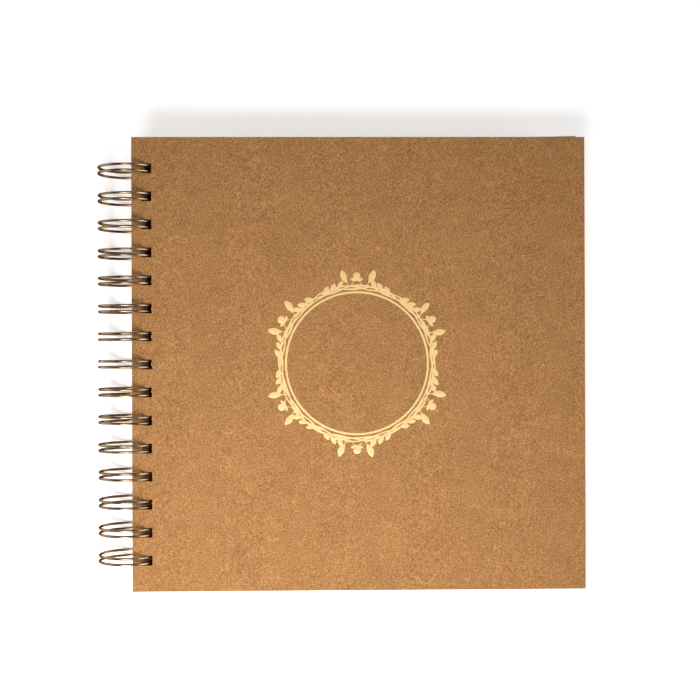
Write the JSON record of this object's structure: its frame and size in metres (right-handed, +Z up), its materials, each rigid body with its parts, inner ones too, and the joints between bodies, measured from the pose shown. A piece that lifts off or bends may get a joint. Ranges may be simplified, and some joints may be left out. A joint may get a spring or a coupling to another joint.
{
  "type": "wire-bound scrapbook album",
  "caption": "Square wire-bound scrapbook album with kraft card covers and pages on twin-loop wire rings, and a gold foil wreath frame on the front cover.",
  "frame": {"origin": "on the plane the album rests on, below the middle of the whole album", "axes": "+Z up out of the front cover, +X from the wire binding towards the fore-edge, +Y towards the head of the cover"},
  "size_m": [0.2231, 0.2071, 0.0279],
  "materials": {
    "cover_kraft": "matte kraft paper",
    "page_kraft": "matte kraft card",
    "grey_board": "raw cut greyboard",
    "bronze_wire": "antique bronze coating, glossy",
    "gold_foil": "pale gold stamped foil"
  },
  "bodies": {
    "binding": {"binding_wire": "bronze_wire"},
    "front_cover": {"front_face_paper": "cover_kraft", "front_board": "grey_board", "front_lining": "cover_kraft", "foil_wreath": "gold_foil"},
    "back_cover": {"back_lining": "cover_kraft", "back_board": "grey_board", "back_face_paper": "cover_kraft"},
    "page_01": {"page_01": "page_kraft"},
    "page_02": {"page_02": "page_kraft"},
    "page_03": {"page_03": "page_kraft"},
    "page_04": {"page_04": "page_kraft"},
    "page_05": {"page_05": "page_kraft"},
    "page_06": {"page_06": "page_kraft"},
    "page_07": {"page_07": "page_kraft"},
    "page_08": {"page_08": "page_kraft"},
    "page_09": {"page_09": "page_kraft"},
    "page_10": {"page_10": "page_kraft"},
    "page_11": {"page_11": "page_kraft"},
    "page_12": {"page_12": "page_kraft"},
    "page_13": {"page_13": "page_kraft"},
    "page_14": {"page_14": "page_kraft"},
    "page_15": {"page_15": "page_kraft"},
    "page_16": {"page_16": "page_kraft"},
    "page_17": {"page_17": "page_kraft"},
    "page_18": {"page_18": "page_kraft"},
    "page_19": {"page_19": "page_kraft"},
    "page_20": {"page_20": "page_kraft"},
    "page_21": {"page_21": "page_kraft"},
    "page_22": {"page_22": "page_kraft"},
    "page_23": {"page_23": "page_kraft"},
    "page_24": {"page_24": "page_kraft"},
    "page_25": {"page_25": "page_kraft"},
    "page_26": {"page_26": "page_kraft"},
    "page_27": {"page_27": "page_kraft"},
    "page_28": {"page_28": "page_kraft"},
    "page_29": {"page_29": "page_kraft"},
    "page_30": {"page_30": "page_kraft"}
  },
  "joints": [
    {"name": "front_cover_turn", "type": "hinge", "parent": "page_01", "child": "front_cover", "pos_m": [-0.09754, 0, 0.01395], "axis": [0, -1, 0], "range_deg": [0, 180]},
    {"name": "back_cover_turn", "type": "hinge", "parent": "binding", "child": "back_cover", "pos_m": [-0.09754, 0, 0.01395], "axis": [0, 1, 0], "range_deg": [0, 180]},
    {"name": "page_01_turn", "type": "hinge", "parent": "page_02", "child": "page_01", "pos_m": [-0.09754, 0, 0.01395], "axis": [0, -1, 0], "range_deg": [0, 180]},
    {"name": "page_02_turn", "type": "hinge", "parent": "page_03", "child": "page_02", "pos_m": [-0.09754, 0, 0.01395], "axis": [0, -1, 0], "range_deg": [0, 180]},
    {"name": "page_03_turn", "type": "hinge", "parent": "page_04", "child": "page_03", "pos_m": [-0.09754, 0, 0.01395], "axis": [0, -1, 0], "range_deg": [0, 180]},
    {"name": "page_04_turn", "type": "hinge", "parent": "page_05", "child": "page_04", "pos_m": [-0.09754, 0, 0.01395], "axis": [0, -1, 0], "range_deg": [0, 180]},
    {"name": "page_05_turn", "type": "hinge", "parent": "page_06", "child": "page_05", "pos_m": [-0.09754, 0, 0.01395], "axis": [0, -1, 0], "range_deg": [0, 180]},
    {"name": "page_06_turn", "type": "hinge", "parent": "page_07", "child": "page_06", "pos_m": [-0.09754, 0, 0.01395], "axis": [0, -1, 0], "range_deg": [0, 180]},
    {"name": "page_07_turn", "type": "hinge", "parent": "page_08", "child": "page_07", "pos_m": [-0.09754, 0, 0.01395], "axis": [0, -1, 0], "range_deg": [0, 180]},
    {"name": "page_08_turn", "type": "hinge", "parent": "page_09", "child": "page_08", "pos_m": [-0.09754, 0, 0.01395], "axis": [0, -1, 0], "range_deg": [0, 180]},
    {"name": "page_09_turn", "type": "hinge", "parent": "page_10", "child": "page_09", "pos_m": [-0.09754, 0, 0.01395], "axis": [0, -1, 0], "range_deg": [0, 180]},
    {"name": "page_10_turn", "type": "hinge", "parent": "page_11", "child": "page_10", "pos_m": [-0.09754, 0, 0.01395], "axis": [0, -1, 0], "range_deg": [0, 180]},
    {"name": "page_11_turn", "type": "hinge", "parent": "page_12", "child": "page_11", "pos_m": [-0.09754, 0, 0.01395], "axis": [0, -1, 0], "range_deg": [0, 180]},
    {"name": "page_12_turn", "type": "hinge", "parent": "page_13", "child": "page_12", "pos_m": [-0.09754, 0, 0.01395], "axis": [0, -1, 0], "range_deg": [0, 180]},
    {"name": "page_13_turn", "type": "hinge", "parent": "page_14", "child": "page_13", "pos_m": [-0.09754, 0, 0.01395], "axis": [0, -1, 0], "range_deg": [0, 180]},
    {"name": "page_14_turn", "type": "hinge", "parent": "page_15", "child": "page_14", "pos_m": [-0.09754, 0, 0.01395], "axis": [0, -1, 0], "range_deg": [0, 180]},
    {"name": "page_15_turn", "type": "hinge", "parent": "page_16", "child": "page_15", "pos_m": [-0.09754, 0, 0.01395], "axis": [0, -1, 0], "range_deg": [0, 180]},
    {"name": "page_16_turn", "type": "hinge", "parent": "page_17", "child": "page_16", "pos_m": [-0.09754, 0, 0.01395], "axis": [0, -1, 0], "range_deg": [0, 180]},
    {"name": "page_17_turn", "type": "hinge", "parent": "page_18", "child": "page_17", "pos_m": [-0.09754, 0, 0.01395], "axis": [0, -1, 0], "range_deg": [0, 180]},
    {"name": "page_18_turn", "type": "hinge", "parent": "page_19", "child": "page_18", "pos_m": [-0.09754, 0, 0.01395], "axis": [0, -1, 0], "range_deg": [0, 180]},
    {"name": "page_19_turn", "type": "hinge", "parent": "page_20", "child": "page_19", "pos_m": [-0.09754, 0, 0.01395], "axis": [0, -1, 0], "range_deg": [0, 180]},
    {"name": "page_20_turn", "type": "hinge", "parent": "page_21", "child": "page_20", "pos_m": [-0.09754, 0, 0.01395], "axis": [0, -1, 0], "range_deg": [0, 180]},
    {"name": "page_21_turn", "type": "hinge", "parent": "page_22", "child": "page_21", "pos_m": [-0.09754, 0, 0.01395], "axis": [0, -1, 0], "range_deg": [0, 180]},
    {"name": "page_22_turn", "type": "hinge", "parent": "page_23", "child": "page_22", "pos_m": [-0.09754, 0, 0.01395], "axis": [0, -1, 0], "range_deg": [0, 180]},
    {"name": "page_23_turn", "type": "hinge", "parent": "page_24", "child": "page_23", "pos_m": [-0.09754, 0, 0.01395], "axis": [0, -1, 0], "range_deg": [0, 180]},
    {"name": "page_24_turn", "type": "hinge", "parent": "page_25", "child": "page_24", "pos_m": [-0.09754, 0, 0.01395], "axis": [0, -1, 0], "range_deg": [0, 180]},
    {"name": "page_25_turn", "type": "hinge", "parent": "page_26", "child": "page_25", "pos_m": [-0.09754, 0, 0.01395], "axis": [0, -1, 0], "range_deg": [0, 180]},
    {"name": "page_26_turn", "type": "hinge", "parent": "page_27", "child": "page_26", "pos_m": [-0.09754, 0, 0.01395], "axis": [0, -1, 0], "range_deg": [0, 180]},
    {"name": "page_27_turn", "type": "hinge", "parent": "page_28", "child": "page_27", "pos_m": [-0.09754, 0, 0.01395], "axis": [0, -1, 0], "range_deg": [0, 180]},
    {"name": "page_28_turn", "type": "hinge", "parent": "page_29", "child": "page_28", "pos_m": [-0.09754, 0, 0.01395], "axis": [0, -1, 0], "range_deg": [0, 180]},
    {"name": "page_29_turn", "type": "hinge", "parent": "page_30", "child": "page_29", "pos_m": [-0.09754, 0, 0.01395], "axis": [0, -1, 0], "range_deg": [0, 180]},
    {"name": "page_30_turn", "type": "hinge", "parent": "binding", "child": "page_30", "pos_m": [-0.09754, 0, 0.01395], "axis": [0, -1, 0], "range_deg": [0, 180]}
  ]
}
